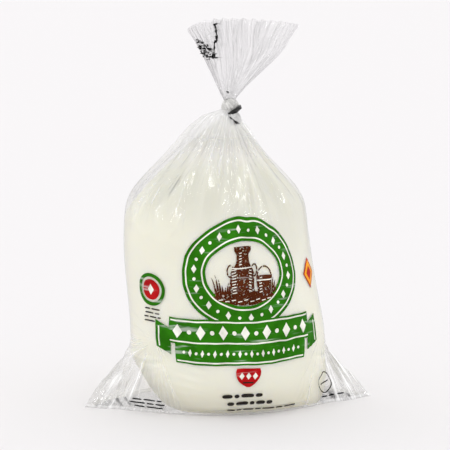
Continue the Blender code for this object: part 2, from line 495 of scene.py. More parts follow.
deselect_all()
bpy.ops.mesh.primitive_uv_sphere_add(segments=96, ring_count=64, radius=1.0)
ball = bpy.context.object
ball.name = "mozzarella_ball"
for vertex in ball.data.vertices:
    way = vertex.co.normalized()
    nub = 0.05 * math.exp(-((1.0 - way.z) / 0.015))
    pull = 0.012 * math.sin(7.0 * math.atan2(way.y, way.x)) * max(way.z, 0.0) ** 4
    swell = 1.0 + nub + pull + 0.006 * math.sin(4.0 * way.x + 3.0 * way.z)
    vertex.co = BALL_CENTRE + Vector([swell * a * b for a, b in zip(way, BALL_HALF)])
bpy.ops.object.shade_smooth()
print("ball across:", [round(2000 * half) for half in BALL_HALF], "mm")

# %% [markdown]
# The loose end is the same tube of film, bunched by the knot and free to flare. Film 32 cm round is
# squeezed into a rim a third as long, so it stands in deep pleats. Its outline is read with rays at the
# left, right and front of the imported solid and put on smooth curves. The pleats run along it, close at
# the knot and wide at the rim.

# %% The pleated end
FLARE_FOOT = 163.0 * MM
FLARE_COLUMNS, FLARE_ROWS = 900, 60
FLARE_MIDDLE = 4.0 * MM
RIM_ROOM = 2.4 * MM
PLEATS = 34
FLARE_HEIGHTS = np.arange(168.0, 206.0, 2.0) * MM


def side_of_solid(height, outwards):
    """How far the solid goes in one direction at a height, by a ray from outside."""
    start = outwards * RAY_START + Vector((FLARE_MIDDLE, 0.0, height))
    place, _, _, _ = solid_tree.ray_cast(start, -outwards)
    return place.dot(outwards)


flare_curves = []
for outwards in (Vector((-1, 0, 0)), Vector((1, 0, 0)), Vector((0, -1, 0))):
    measured = [side_of_solid(height, outwards) for height in FLARE_HEIGHTS]
    flare_curves.append(np.polyfit(FLARE_HEIGHTS, measured, 3))
flare_rim = solid_points[:, 2].max() - RIM_ROOM
draw = random.Random(5)
pleat_drift = [(draw.randint(2, 9), draw.uniform(0.0, math.tau), draw.uniform(0.3, 0.9)) for _ in range(6)]
print("rim reaches", [round(1000 * np.polyval(curve, 0.205), 1) for curve in flare_curves], "mm")


def pleat_wave(turn):
    """A zigzag round the rim whose pleats drift in width and height, so that no two are alike."""
    drift = sum(size * np.sin(count * turn + start) for count, start, size in pleat_drift)
    phase = PLEATS * turn + drift
    zigzag = np.arcsin(0.97 * np.sin(phase)) / math.asin(0.97)
    uneven = 0.78 + 0.22 * np.sin(5.0 * turn + 1.3)
    return zigzag * uneven + 0.14 * np.sin(3.0 * phase + 1.0)


def place_flare(u, v):
    turn = math.tau * u
    level = FLARE_FOOT + (flare_rim - FLARE_FOOT) * v
    clamped = np.clip(level, FLARE_HEIGHTS[0], FLARE_HEIGHTS[-1] + 2.0 * MM)
    left, right, deep = [np.polyval(curve, clamped) for curve in flare_curves]
    left = left + 0.6 * MM * np.sin(math.pi * np.clip(1.15 * v, 0.0, 1.0)) - 0.2 * MM * v
    right = right + 2.2 * MM * ease(0.90, 1.0, v) - 1.1 * MM * np.exp(-((v - 0.80) / 0.08) ** 2)
    gather = ease(0.0, 0.14, v)
    left, right, deep = [edge * (0.45 + 0.55 * gather) for edge in (left, right, deep)]
    pleat = (0.35 + 2.5 * v ** 1.2) * MM
    half = 0.5 * (right + left) - 0.1 * pleat
    deep = deep - pleat
    side, front = np.cos(turn), np.sin(turn)
    across, along = deep * side, half * front
    steep = np.hypot(across, along)
    calm = 0.12 + 0.88 * np.abs(front) ** 0.8
    meander = 0.05 * np.sin(2.0 * turn) + 0.03 * np.sin(7.0 * v + 3.0 * turn)
    out = pleat * calm * pleat_wave(turn + v * meander)
    rise = 2.2 * MM * front ** 2 + 0.5 * MM * np.cos(3.0 * turn) + 0.35 * MM * np.sin(PLEATS * turn)
    rise = rise - 1.6 * MM * np.abs(side) ** 6
    return (
        0.5 * (right - left) + half * side + out * across / steep,
        deep * front * np.abs(front) ** 0.6 + out * along / steep,
        level + rise * v ** 4,
    )


flare = lay_sheet("pleated_end", FLARE_COLUMNS, FLARE_ROWS, place_flare)
sew_and_close(flare, close_ends=False)
print("pleated end faces:", len(flare.data.polygons))

# %% [markdown]
# The knot is film twisted to a rope and pulled tight: a barrel round the neck, a turn that binds it on
# the slant, and the bight tucked under that turn at the front. The lumps start as spheres and the turn
# as a ring, and each gets the lengthwise pleats of bunched film.

# %% The knot
KNOT_TILT = math.radians(-27.0)
TURN_CENTRE = Vector((1.7, -0.9, 160.8))
TURN_RADIUS, ROPE_RADIUS = 4.15, 1.35
TURN_DEPTH = 1.25


def tilted(point):
    """Turns a point of the knot by the knot's tilt, about the line from front to back."""
    c, s = math.cos(KNOT_TILT), math.sin(KNOT_TILT)
    return Vector((c * point.x + s * point.z, point.y, -s * point.x + c * point.z))


def knot_lump(name, centre, half, pleats, depth, twist):
    """A sphere stretched to its half sizes, with pleats from pole to pole of its tilted axis."""
    deselect_all()
    bpy.ops.mesh.primitive_uv_sphere_add(segments=128, ring_count=64, radius=1.0)
    lump = bpy.context.object
    lump.name = name
    for vertex in lump.data.vertices:
        way = vertex.co.normalized()
        spin = math.atan2(way.y, way.x)
        groove = abs(math.sin(0.5 * (pleats * spin + twist * way.z + math.sin(3.0 * spin))))
        level = 1.0 - depth * (1.0 - groove) * (1.0 - 0.6 * abs(way.z))
        shaped = Vector([level * a * b for a, b in zip(way, half)])
        vertex.co = MM * (Vector(centre) + tilted(shaped))
    bpy.ops.object.shade_smooth()
    return lump


barrel = knot_lump("knot_barrel", (0.7, 0.0, 162.9), (5.0, 4.4, 4.6), 15, 0.17, 2.2)
bight = knot_lump("knot_bight", (2.1, -4.3, 157.0), (3.6, 3.0, 4.3), 9, 0.13, 1.0)

deselect_all()
bpy.ops.mesh.primitive_torus_add(
    major_segments=128, minor_segments=32, major_radius=TURN_RADIUS, minor_radius=ROPE_RADIUS,
)
binding = bpy.context.object
binding.name = "knot_turn"
for vertex in binding.data.vertices:
    spin = math.atan2(vertex.co.y, vertex.co.x)
    core = TURN_RADIUS * Vector((math.cos(spin), math.sin(spin), 0.0))
    rope = vertex.co - core
    around = math.atan2(rope.z, rope.length - abs(rope.z) + 1.0)
    swell = 0.78 + 0.30 * math.cos(spin) + 0.12 * math.sin(7.0 * around + 3.0 * spin)
    core.y *= TURN_DEPTH
    vertex.co = MM * (TURN_CENTRE + tilted(core + swell * rope))
bpy.ops.object.shade_smooth()
print("knot pieces:", barrel.name, bight.name, binding.name)

# %% [markdown]
# The print is ink on the outside of the film, so every printed shape is a thin sheet of its own, laid on
# the film a tenth to a quarter of a millimetre proud. A shape is designed flat, in millimetres along the
# bag's round and up from its foot, and each of its points is then moved onto the film in that direction.
# The design is a plain one of its own: an oval medallion, a ribbon in two steps, and small marks.

# %% Laying print on the film
PRINT_RADIUS = 50.0
# Each fold under the print: where it is along and up, how wide and tall, and how far it pulls down.
PRINT_FOLDS = [(1.0, 104.0, 4.0, 7.0, 1.3), (17.0, 97.0, 3.5, 9.0, 0.8), (24.0, 44.0, 4.0, 8.0, 0.7)]
ON_COLOUR = 0.16
film_tree = BVHTree.FromObject(film, bpy.context.evaluated_depsgraph_get())
printed = []


def pulled(along, up):
    """Small bends that the film's folds give to straight print, in millimetres."""
    bent_along = along + 0.22 * np.sin(0.23 * up + 0.11 * along) + 0.07 * np.sin(0.83 * up + 1.0)
    bent_up = up + 0.22 * np.sin(0.17 * along + 0.07 * up + 0.6) + 0.07 * np.sin(0.57 * along + 2.0)
    for fold_along, fold_up, wide, tall, deep in PRINT_FOLDS:
        near = np.exp(-((along - fold_along) / wide) ** 2 - ((up - fold_up) / tall) ** 2)
        bent_up = bent_up - deep * near
    return bent_along, bent_up


def lay_print(name, columns, rows, design, ink, lift=0.10):
    """A printed sheet: design(u, v) gives its flat place, and rays set it on the film."""
    def flat(u, v):
        along, up = pulled(*design(u, v))
        return along, np.zeros_like(u), up

    sheet = lay_sheet(name, columns, rows, flat)
    for vertex in sheet.data.vertices:
        direction = -0.5 * math.pi + vertex.co.x / PRINT_RADIUS
        outwards = outward(direction)
        start = outwards * RAY_START + Vector((0.0, 0.0, vertex.co.z * MM))
        place, normal, _, _ = film_tree.ray_cast(start, -outwards)
        vertex.co = place + normal * lift * MM
    sheet.data.update()
    sew_and_close(sheet, close_ends=False)
    centre = sum((face.normal for face in sheet.data.polygons), Vector())
    outside = sheet.data.vertices[0].co.copy()
    if centre.dot(Vector((outside.x, outside.y, 0.0))) < 0.0:
        edit(lambda: bpy.ops.mesh.flip_normals())
    printed.append((sheet, ink))


def bar(along, up, width, height, lean=0.0, curve=0.0):
    """A bar with its middle at (along, up); lean raises its right end and curve its two ends."""
    def design(u, v):
        x = along + width * (u - 0.5)
        return x, up + height * (v - 0.5) + lean * (u - 0.5) + curve * (2.0 * u - 1.0) ** 2

    return design


def oval_ring(along, up, half_width, half_height, band):
    def design(u, v):
        spin = math.tau * u
        grow = band * (v - 0.5)
        return along + (half_width + grow) * np.cos(spin), up + (half_height + grow) * np.sin(spin)

    return design


def lozenge(along, up, half_width, half_height):
    def design(u, v):
        x, y = 2.0 * u - 1.0, 2.0 * v - 1.0
        return along + half_width * 0.5 * (x + y), up + half_height * 0.5 * (y - x)

    return design


def disc(along, up, half_width, half_height):
    def design(u, v):
        x, y = 2.0 * u - 1.0, 2.0 * v - 1.0
        return (
            along + half_width * x * np.sqrt(1.0 - 0.5 * y * y),
            up + half_height * y * np.sqrt(1.0 - 0.5 * x * x),
        )

    return design


def silhouette(along, foot, height, widths):
    """A filled shape that is symmetric left and right, with half widths given from foot to top."""
    def design(u, v):
        half = np.interp(v, np.linspace(0.0, 1.0, len(widths)), widths)
        return along + half * (2.0 * u - 1.0), foot + height * v

    return design


def by_turns(name, places, detail, lozenge_half, dot_half, first, lift):
    """A row of bare lozenges and dots by turns; the first lozenge has the number first."""
    for index, (along, up) in enumerate(places):
        shape = disc(along, up, dot_half, dot_half)
        if index % 2 == first:
            shape = lozenge(along, up, *lozenge_half)
        lay_print(f"{name}_{index:02d}", detail, detail, shape, "bare_cream", lift)


print("print follows", len(PRINT_FOLDS), "folds of its own")

# %% [markdown]
# The largest mark is a medallion: a broad green oval ring with a thin bare line near each edge, and a row
# of lozenges and dots between them. On the real film bare shapes are left out of the green and the milk
# shows there; here they are cream sheets that lie a little higher than the green.

# %% The medallion
MEDALLION = (-1.0, 78.5)
MEDALLION_HALF = (28.9, 23.7)
ORNAMENTS = 28
lay_print("medallion_band", 180, 12, oval_ring(*MEDALLION, *MEDALLION_HALF, 12.8), "leaf_green")
for word, away in (("outer", 4.4), ("inner", -4.4)):
    line = oval_ring(*MEDALLION, MEDALLION_HALF[0] + away, MEDALLION_HALF[1] + away, 0.8)
    lay_print(f"medallion_line_{word}", 180, 2, line, "bare_cream", lift=ON_COLOUR)
spins = [math.tau * (index + 0.5) / ORNAMENTS for index in range(ORNAMENTS)]
ornament_places = [
    (MEDALLION[0] + MEDALLION_HALF[0] * math.cos(spin), MEDALLION[1] + MEDALLION_HALF[1] * math.sin(spin))
    for spin in spins
]
by_turns("medallion_ornament", ornament_places, 4, (1.5, 2.3), 0.9, 1, ON_COLOUR)
print("medallion sheets:", len(printed))

# %% [markdown]
# Inside the ring a milk churn and a pail stand on a strip of meadow. They are drawn as a woodcut is: flat
# brown shapes that are shaded by rows of short bare lines. Blades of grass frame them.

# %% The churn, the pail and the meadow
CHURN_WIDTHS = (6.8, 7.2, 7.2, 7.2, 7.2, 7.2, 7.1, 6.4, 4.8, 3.8, 3.6, 3.6, 5.2, 5.2)
PAIL_WIDTHS = (3.9, 4.2, 4.5, 4.8, 5.2)
lay_print("churn", 20, 60, silhouette(-2.5, 66.0, 27.0, CHURN_WIDTHS), "earth_brown", lift=0.14)
lay_print("pail", 16, 24, silhouette(11.0, 66.5, 10.5, PAIL_WIDTHS), "earth_brown", lift=0.14)
lay_print("pail_bow", 30, 2, oval_ring(11.0, 77.0, 4.4, 4.6, 0.8), "earth_brown")


def meadow(u, v):
    x = 2.0 * u - 1.0
    top = 68.0 + 2.2 * np.cos(2.2 * x) + 0.7 * np.cos(9.0 * x)
    foot = 65.8 - 4.2 * (1.0 - x * x)
    return -1.0 + 19.5 * x, foot + (top - foot) * v


lay_print("meadow", 50, 10, meadow, "earth_brown", lift=0.12)


def hatch(name, along, foot, width, step, count, slope):
    """Rows of short bare lines, as an engraver shades a round thing."""
    for index in range(count):
        shape = bar(along, foot + step * index, width * (1.0 - 0.25 * (index % 2)), 0.5, lean=slope)
        lay_print(f"{name}_{index}", 8, 2, shape, "bare_cream", lift=0.2)


hatch("churn_shade_left", -7.3, 68.5, 2.8, 1.55, 9, 0.5)
hatch("churn_shade_right", 2.2, 69.3, 1.8, 1.55, 8, -0.4)
hatch("churn_shade_neck", -3.9, 83.6, 1.6, 1.5, 5, 0.2)
hatch("pail_shade", 8.8, 68.2, 2.0, 1.5, 6, 0.3)
lay_print("churn_hoop", 20, 2, bar(-2.5, 81.5, 13.0, 0.6, curve=0.5), "bare_cream", lift=0.2)
lay_print("pail_hoop", 14, 2, bar(11.0, 74.3, 9.4, 0.6, curve=0.3), "bare_cream", lift=0.2)
for index in range(9):
    shape = bar(-15.0 + 3.6 * index, 64.6 - 0.8 * (index % 2), 2.4, 0.5, lean=0.3)
    lay_print(f"meadow_shade_{index}", 6, 2, shape, "bare_cream", lift=0.2)
SIDES = (("left", -1.0), ("right", 1.0))
for word, side in SIDES:
    handle = oval_ring(-2.5 + side * 7.0, 80.2, 1.7, 3.2, 0.8)
    lay_print(f"churn_handle_{word}", 28, 2, handle, "earth_brown")


def grass_blade(foot, lean, tall):
    def design(u, v):
        half = 0.75 * (1.0 - v) ** 0.7
        return foot + lean * v * v + half * (2.0 * u - 1.0), 67.5 + tall * v

    return design


for index in range(8):
    left = grass_blade(-18.0 + 1.3 * index, -2.6 + 0.75 * index, 7.5 + 3.5 * math.sin(1.1 * index + 0.6))
    lay_print(f"grass_left_{index}", 2, 14, left, "earth_brown")
for index in range(3):
    right = grass_blade(16.2 + 0.8 * index, 0.6 + 0.8 * index, 8.5 - 2.0 * index)
    lay_print(f"grass_right_{index}", 2, 14, right, "earth_brown")
print("printed sheets so far:", len(printed))

# %% [markdown]
# Under the medallion runs a ribbon in two steps, the upper one wider and lying over the lower one, with a
# folded end at each side. It hangs a little lower in the middle. Lozenges and dots stand in two rows
# where a ribbon would carry words.

# %% The ribbon
BAND_MIDDLE, BAND_WIDTH, LOWER_WIDTH = -1.0, 92.0, 78.0
BAND_DIP = 1.2


def band_bar(name, up, width, height, rows, lift, ink="leaf_green"):
    """A bar as long as one step of the ribbon, with the ribbon's dip."""
    shape = bar(BAND_MIDDLE, up, width, height, curve=BAND_DIP * (width / BAND_WIDTH) ** 2)
    lay_print(name, 110, rows, shape, ink, lift)


def band_places(count, step, up):
    """Places in an even row that follows the ribbon's dip."""
    alongs = [BAND_MIDDLE + step * (index - count // 2) for index in range(count)]
    return [(along, up + BAND_DIP * (2.0 * (along - BAND_MIDDLE) / BAND_WIDTH) ** 2) for along in alongs]


for word, side in SIDES:
    tail = bar(BAND_MIDDLE + side * 46.0, 43.0, 9.0, 14.5, lean=side * 4.0)
    fold_line = bar(BAND_MIDDLE + side * 48.4, 43.5, 0.8, 11.0)
    lay_print(f"band_end_{word}", 10, 14, tail, "leaf_green", lift=0.13)
    lay_print(f"band_end_line_{word}", 2, 12, fold_line, "bare_cream", lift=0.19)
band_bar("band_lower_field", 34.6, LOWER_WIDTH, 11.4, 12, 0.16)
band_bar("band_upper_field", 46.6, BAND_WIDTH - 7.0, 14.2, 14, 0.20)
band_bar("band_line_top", 52.3, BAND_WIDTH - 8.6, 0.8, 2, 0.25, "bare_cream")
band_bar("band_line_middle", 40.9, BAND_WIDTH - 8.6, 0.8, 2, 0.25, "bare_cream")
band_bar("band_line_foot", 30.3, LOWER_WIDTH - 1.6, 0.8, 2, 0.21, "bare_cream")
by_turns("band_ornament", band_places(13, 6.3, 46.5), 5, (2.6, 3.9), 1.2, 0, 0.25)
by_turns("band_dot", band_places(21, 3.4, 35.2), 4, (1.0, 2.1), 0.8, 1, 0.21)
print("printed sheets with the band:", len(printed))

# %% [markdown]
# Small marks lie round the large ones: a round one at the left with rows of dashes under it, a lozenge at
# the right, and a shield at the foot. Dashes stand for small print along the bottom edge and in the
# corners, and a thin stamped ring is at the right. They are kept plain, since most are a few millimetres.

# %% The small marks
lay_print("left_mark_ring", 48, 3, oval_ring(-54.5, 68.0, 7.9, 7.9, 2.0), "leaf_green")
lay_print("left_mark_heart", 12, 12, disc(-54.5, 68.0, 5.6, 5.6), "signal_red")
lay_print("left_mark_spark", 6, 6, lozenge(-54.5, 68.0, 2.0, 3.0), "bare_cream", lift=0.18)
lay_print("right_mark_ground", 14, 14, lozenge(49.5, 74.0, 7.0, 8.4), "signal_red")
lay_print("right_mark_field", 12, 12, lozenge(49.5, 74.0, 5.9, 7.1), "sun_yellow", lift=0.14)
lay_print("right_mark_heart", 8, 8, lozenge(49.5, 74.0, 3.2, 3.9), "signal_red", lift=0.18)
SHIELD_WIDTHS = (1.0, 3.6, 5.2, 6.3, 6.9, 7.2, 7.2, 6.6)
lay_print("foot_mark", 18, 18, silhouette(1.0, 16.6, 10.6, SHIELD_WIDTHS), "signal_red")
for index in range(3):
    spark = lozenge(1.0 + 3.9 * (index - 1), 22.9, 1.5, 2.0)
    lay_print(f"foot_mark_spark_{index}", 5, 5, spark, "bare_cream", lift=ON_COLOUR)
lay_print("foot_mark_line", 12, 2, bar(1.0, 19.2, 6.4, 0.8), "ink_soft", lift=ON_COLOUR)


def capsule(along, up, width, height):
    """A bar with round ends."""
    def design(u, v):
        end = np.abs(2.0 * u - 1.0) ** (1.5 * width / height)
        full = np.sqrt(1.0 - 0.92 * end)
        return along + width * (u - 0.5), up + height * full * (v - 0.5)

    return design


def dashes(name, along, up, lengths, height, gap, ink="ink_soft"):
    """A row of plain dashes in the place of small print."""
    total = sum(lengths) + gap * (len(lengths) - 1)
    start = along - 0.5 * total
    for index, length in enumerate(lengths):
        shape = capsule(start + 0.5 * length, up, length, height)
        lay_print(f"{name}_{index}", 4 + 2 * int(length), 4, shape, ink)
        start += length + gap


dashes("foot_line_upper", -2.0, 11.8, (6.0, 3.0, 8.0, 4.5), 2.1, 1.1)
dashes("foot_line_lower", 3.0, 7.4, (4.0, 7.5, 3.0, 6.0, 4.0), 2.1, 1.1)
dashes("hem_line", 12.0, 3.6, (5.0, 3.0, 7.0, 4.0, 9.0, 5.0, 8.0), 0.8, 1.0)
for index, lengths in enumerate(((4.0, 5.5), (6.0, 3.0), (3.5, 4.5, 2.0), (7.5, 2.5))):
    dashes(f"left_lines_{index}", -54.0, 57.4 - 2.2 * index, lengths, 0.8, 0.7)
for index, lengths in enumerate(((4.0, 6.0, 3.0), (7.0, 3.5, 5.0), (5.0, 8.0))):
    dashes(f"corner_lines_{index}", -56.0, 7.4 - 2.0 * index, lengths, 0.8, 0.8, "ink_black")
lay_print("right_stamp", 48, 2, oval_ring(57.0, 12.5, 4.4, 5.8, 0.6), "ink_black")
lay_print("right_stamp_bar", 8, 2, bar(57.0, 12.5, 5.0, 0.7, lean=2.0), "ink_black")
dashes("right_corner_line", 60.0, 4.6, (4.0, 3.0, 2.0), 0.8, 0.9, "ink_black")
print("printed sheets:", len(printed))

# %% [markdown]
# Some of the dark print lies on the part of the film that was gathered. There it is crushed into broken
# black specks: a crooked streak down the pleated end, a blot at its left edge, and small smears.

# %% Dark print in the gathers
STREAK_LIFT = 0.35 * MM
FLARE_FRONT = -6.0 * MM
flare_tree = BVHTree.FromObject(flare, bpy.context.evaluated_depsgraph_get())


def lay_streak(name, points, widths, ink, steps):
    """A crooked strip through points (x, z), set on the front of the pleated end."""
    route = np.array(points) * MM
    shares = np.linspace(0.0, 1.0, len(points))

    def design(u, v):
        x = np.interp(v, shares, route[:, 0])
        z = np.interp(v, shares, route[:, 1])
        wide = np.interp(v, np.linspace(0.0, 1.0, len(widths)), widths) * MM
        ragged = 1.0 + 0.35 * np.sin(31.0 * v + 2.0) + 0.25 * np.sin(73.0 * v)
        return x + wide * ragged * (u - 0.5), np.zeros_like(u), z + 0.3 * wide * (u - 0.5)

    streak = lay_sheet(name, 8, steps, design)
    deepest = FLARE_FRONT
    for vertex in streak.data.vertices:
        start = Vector((vertex.co.x, -RAY_START, vertex.co.z))
        place, _, _, _ = flare_tree.ray_cast(start, Vector((0.0, 1.0, 0.0)))
        if place is not None:
            deepest = place.y
        vertex.co.y = deepest - STREAK_LIFT
    relax = streak.modifiers.new("Relax", "SMOOTH")
    relax.iterations = 1
    apply_all_modifiers(streak)
    printed.append((streak, ink))


# Each streak: its name, its route (x, z), its widths along the route, its ink and its rows of squares.
STREAKS = (
    ("streak_down", [(-8.8, 208.6), (-8.0, 203.5), (-7.9, 200.0), (-9.0, 196.5), (-9.3, 190.4)],
     (1.9, 1.3, 1.2, 1.0, 1.1), "ink_black", 60),
    ("blot_side", [(-18.0, 200.0), (-15.2, 196.8), (-12.4, 192.8), (-9.6, 189.2)],
     (0.8, 4.6, 6.4, 4.2), "crushed_ink", 60),
    ("smear_foot", [(-9.4, 190.2), (-7.0, 189.9), (-4.4, 190.4)], (1.6, 1.4, 0.8), "crushed_ink", 20),
    ("smear_rim", [(-11.0, 208.2), (-8.5, 208.4), (-5.8, 208.6)], (0.6, 1.4, 0.6), "crushed_ink", 20),
    ("blot_neck", [(-1.9, 171.8), (-0.6, 170.6), (0.4, 171.4)], (0.7, 1.5, 0.8), "crushed_ink", 16),
)
for streak in STREAKS:
    lay_streak(*streak)
print("printed sheets in all:", len(printed))

# %% [markdown]
# Every finish is worked out on the object itself, so it stays put from any side. The finishes share a few
# small steps: a soft noise, a share that climbs between two values, and products and sums of shares.

# %% Steps that the finishes share


def arithmetic(tree, operation, *inputs, clamp=False):
    return add(tree, "Math", dict(enumerate(inputs)), operation=operation, use_clamp=clamp).outputs["Value"]


def vectors(tree, operation, *inputs, output="Vector"):
    return add(tree, "VectorMath", dict(enumerate(inputs)), operation=operation).outputs[output]


def product(tree, first, *others):
    for other in others:
        first = arithmetic(tree, "MULTIPLY", first, other)
    return first


def total_of(tree, first, *others):
    """A sum of shares that stops at 1."""
    for other in others:
        first = arithmetic(tree, "ADD", first, other, clamp=True)
    return first


def ramp_of(tree, value, low, high, top=1.0, foot=0.0):
    """A share that climbs from foot to top while the value goes from low to high."""
    inputs = {"Value": value, "From Min": low, "From Max": high, "To Min": foot, "To Max": top}
    return add(tree, "MapRange", inputs, interpolation_type="SMOOTHSTEP").outputs["Result"]


def mixed(tree, share, first, second, way="MIX"):
    """Two colours mixed; share is how much of the second shows."""
    inputs = {"Factor": share, "A": first, "B": second}
    return add(tree, "Mix", inputs, data_type="RGBA", blend_type=way).outputs["Result"]


def layered(tree, share, first, second):
    """Two shaders mixed; share is how much of the second shows."""
    return add(tree, "MixShader", {"Fac": share, 1: first, 2: second}).outputs["Shader"]


def two_tone(tree, share, low, high, dark, light):
    """A colour that goes from dark to light while the share goes from low to high."""
    ramp = add(tree, "ValToRGB", {"Fac": share})
    for element, position, colour in zip(ramp.color_ramp.elements, (low, high), (dark, light)):
        element.position = position
        element.color = colour
    return ramp.outputs["Color"]


def on_object(tree):
    """The place of a point on the object."""
    return add(tree, "TexCoord", {}).outputs["Object"]


def soft_noise(tree, place, scale, detail, roughness=0.5):
    inputs = {"Vector": place, "Scale": scale, "Detail": detail, "Roughness": roughness}
    return add(tree, "TexNoise", inputs).outputs["Fac"]


def patches(tree, scale, detail=2.0, low=0.40, high=0.60):
    """Soft patches: large ones hold the streaks of a zone, and small ones break long streaks up."""
    return ramp_of(tree, soft_noise(tree, on_object(tree), scale, detail), low, high)


def crinkle(tree, scale, strength, distance, stretch=(1.0, 1.0, 1.0), under=None):
    """A bump of fine irregular crinkles; returns its normal."""
    place = add(tree, "Mapping", {"Vector": on_object(tree), "Scale": stretch}).outputs["Vector"]
    height = soft_noise(tree, place, scale, 5.0, 0.55)
    bump = add(tree, "Bump", {"Strength": strength, "Distance": distance, "Height": height})
    if under is not None:
        fill(tree, bump, {"Normal": under})
    return bump.outputs["Normal"]


print("materials so far:", len(bpy.data.materials))

# %% [markdown]
# Clear film shows itself by its gloss and by a faint haze. Its shader lets light straight through, adds a
# mirror part that grows towards glancing angles, and a little white haze. White streaks run up to the knot
# and fan out over the empty corners: creased film is hazy there, and the thin white lines are also painted
# highlights on its creases. Grey lines in the creases and over the corners and broad grey bands over the
# folds are painted shade, and the film greys where it is seen edge on, which is painted shade too. Very
# fine crinkles are left to a bump.

# %% Clear film
FAN_TOP = (46.0 * MM, 41.0 * MM)
FAN_STRETCH = (16.0, 70.0, 20.0)
EMPTY_GREY = 0.10
VEIL_WHITE = (0.93, 0.93, 0.925, 1.0)
MIRROR_WHITE = (1.0, 1.0, 1.0, 1.0)
GLOSS_FACE_ON, GLOSS_GAIN, GLOSS_POWER = 0.05, 0.35, 4.0


def round_streaks(tree, around, upwards, detail):
    """Noise in streaks that run up the bag, so many round it, without a seam anywhere."""
    place = on_object(tree)
    direction = vectors(tree, "NORMALIZE", vectors(tree, "MULTIPLY", place, (1.0, 1.0, 0.0)))
    spread = vectors(tree, "MULTIPLY", direction, (around, around, 0.0))
    rise = vectors(tree, "MULTIPLY", place, (0.0, 0.0, upwards))
    return soft_noise(tree, vectors(tree, "ADD", spread, rise), 1.0, detail, 0.6)


def corner_fan(tree):
    """Noise in streaks that fan out over the flat corners from their tops."""
    split = add(tree, "SeparateXYZ", {"Vector": on_object(tree)}).outputs
    out = arithmetic(tree, "SUBTRACT", arithmetic(tree, "ABSOLUTE", split["X"]), FAN_TOP[0])
    down = arithmetic(tree, "SUBTRACT", FAN_TOP[1], split["Z"])
    angle = arithmetic(tree, "ARCTAN2", down, out)
    spot = add(tree, "CombineXYZ", {"X": angle, "Y": split["X"], "Z": split["Y"]}).outputs["Vector"]
    return soft_noise(tree, vectors(tree, "MULTIPLY", spot, FAN_STRETCH), 1.0, 4.0)


def clear_film(name, haze, edge_haze, tint, streak_zone, streaks, neck_haze):
    """See-through film: haze is how white it is face on, edge_haze how white it is edge on.

    streaks holds how fine the lines are round the bag, how white the white ones are, how dark the grey
    ones are, and how strong the painted shade of the broad grey folds is."""
    fineness, white_share, grey, fold_shade_share = streaks
    material, tree = new_finish(name)
    tree.nodes.clear()
    split = add(tree, "SeparateXYZ", {"Vector": on_object(tree)}).outputs
    height, outwards = split["Z"], arithmetic(tree, "ABSOLUTE", split["X"])
    facing = add(tree, "LayerWeight", {"Blend": 0.35}).outputs["Facing"]

    zone = ramp_of(tree, height, *streak_zone)
    corner = product(tree, ramp_of(tree, height, 0.040, 0.028), ramp_of(tree, outwards, 0.044, 0.056))
    side = product(tree, ramp_of(tree, outwards, 0.026, 0.040), ramp_of(tree, height, 0.060, 0.036))
    aslant = ramp_of(tree, facing, 0.0, 0.60)
    left_part = ramp_of(tree, split["X"], -0.024, -0.042, 0.7)
    held = total_of(tree, patches(tree, 34.0), left_part)
    held = product(tree, held, patches(tree, 210.0, 3.0, 0.30, 0.54))
    fan = corner_fan(tree)

    rope = product(tree, round_streaks(tree, 9.0, 20.0, 4.0), zone, held)
    relief = total_of(tree, rope, product(tree, fan, corner))
    folds = add(tree, "Bump", {"Strength": 0.9, "Distance": 1.3 * MM, "Height": relief})
    normal = crinkle(tree, 200.0, 0.13, 0.5 * MM, under=folds.outputs["Normal"])

    # White lines round the bag and in the corner fans are partly the haze of creased film and partly
    # painted highlights on its creases.
    crease_haze_and_highlight = ramp_of(tree, round_streaks(tree, fineness, 34.0, 4.0), 0.54, 0.66, white_share)
    white = total_of(
        tree,
        product(tree, crease_haze_and_highlight, zone, held),
        product(tree, ramp_of(tree, fan, 0.44, 0.70, 0.52), corner),
        product(tree, ramp_of(tree, patches(tree, 70.0), 0.0, 1.0, 0.16), corner),
        product(tree, ramp_of(tree, fan, 0.55, 0.68, 0.26), side),
        ramp_of(tree, height, 0.134, 0.160, neck_haze),
        ramp_of(tree, height, 0.0022, 0.0014, 0.35),
    )
    # Grey lines in the creases and the grey fan over the corners are painted shade.
    painted_crease_shade = ramp_of(tree, round_streaks(tree, 1.3 * fineness, 26.0, 4.0), 0.54, 0.66)
    # Broad grey bands are painted shade of the film's larger folds.
    painted_fold_shade = ramp_of(tree, round_streaks(tree, 8.0, 12.0, 2.0), 0.44, 0.64, fold_shade_share)
    empty = total_of(tree, corner, product(tree, zone, aslant))
    grey_share = total_of(
        tree,
        product(tree, painted_crease_shade, zone, aslant, held),
        product(tree, ramp_of(tree, fan, 0.44, 0.34, 0.36), corner),
        product(tree, empty, EMPTY_GREY),
        product(tree, painted_fold_shade, zone),
        # Painted shade: the film greys where it is seen edge on.
        ramp_of(tree, facing, 0.40, 0.95, 0.40),
    )

    seen_through = mixed(tree, grey_share, tint, (grey, grey, grey, 1.0))
    through = add(tree, "BsdfTransparent", {"Color": seen_through}).outputs["BSDF"]
    veil = add(tree, "BsdfDiffuse", {"Color": VEIL_WHITE}).outputs["BSDF"]
    mirror_inputs = {"Roughness": 0.08, "Color": MIRROR_WHITE, "Normal": normal}
    mirror = add(tree, "BsdfGlossy", mirror_inputs).outputs["BSDF"]
    haze_share = arithmetic(tree, "MULTIPLY_ADD", facing, edge_haze - haze, haze)
    glancing = add(tree, "LayerWeight", {"Blend": 0.5, "Normal": normal}).outputs["Facing"]
    steep = arithmetic(tree, "POWER", glancing, GLOSS_POWER)
    gloss = arithmetic(tree, "MULTIPLY_ADD", steep, GLOSS_GAIN, GLOSS_FACE_ON)
    hazy = layered(tree, total_of(tree, haze_share, white), through, veil)
    add(tree, "OutputMaterial", {"Surface": layered(tree, gloss, hazy, mirror)})
    return material


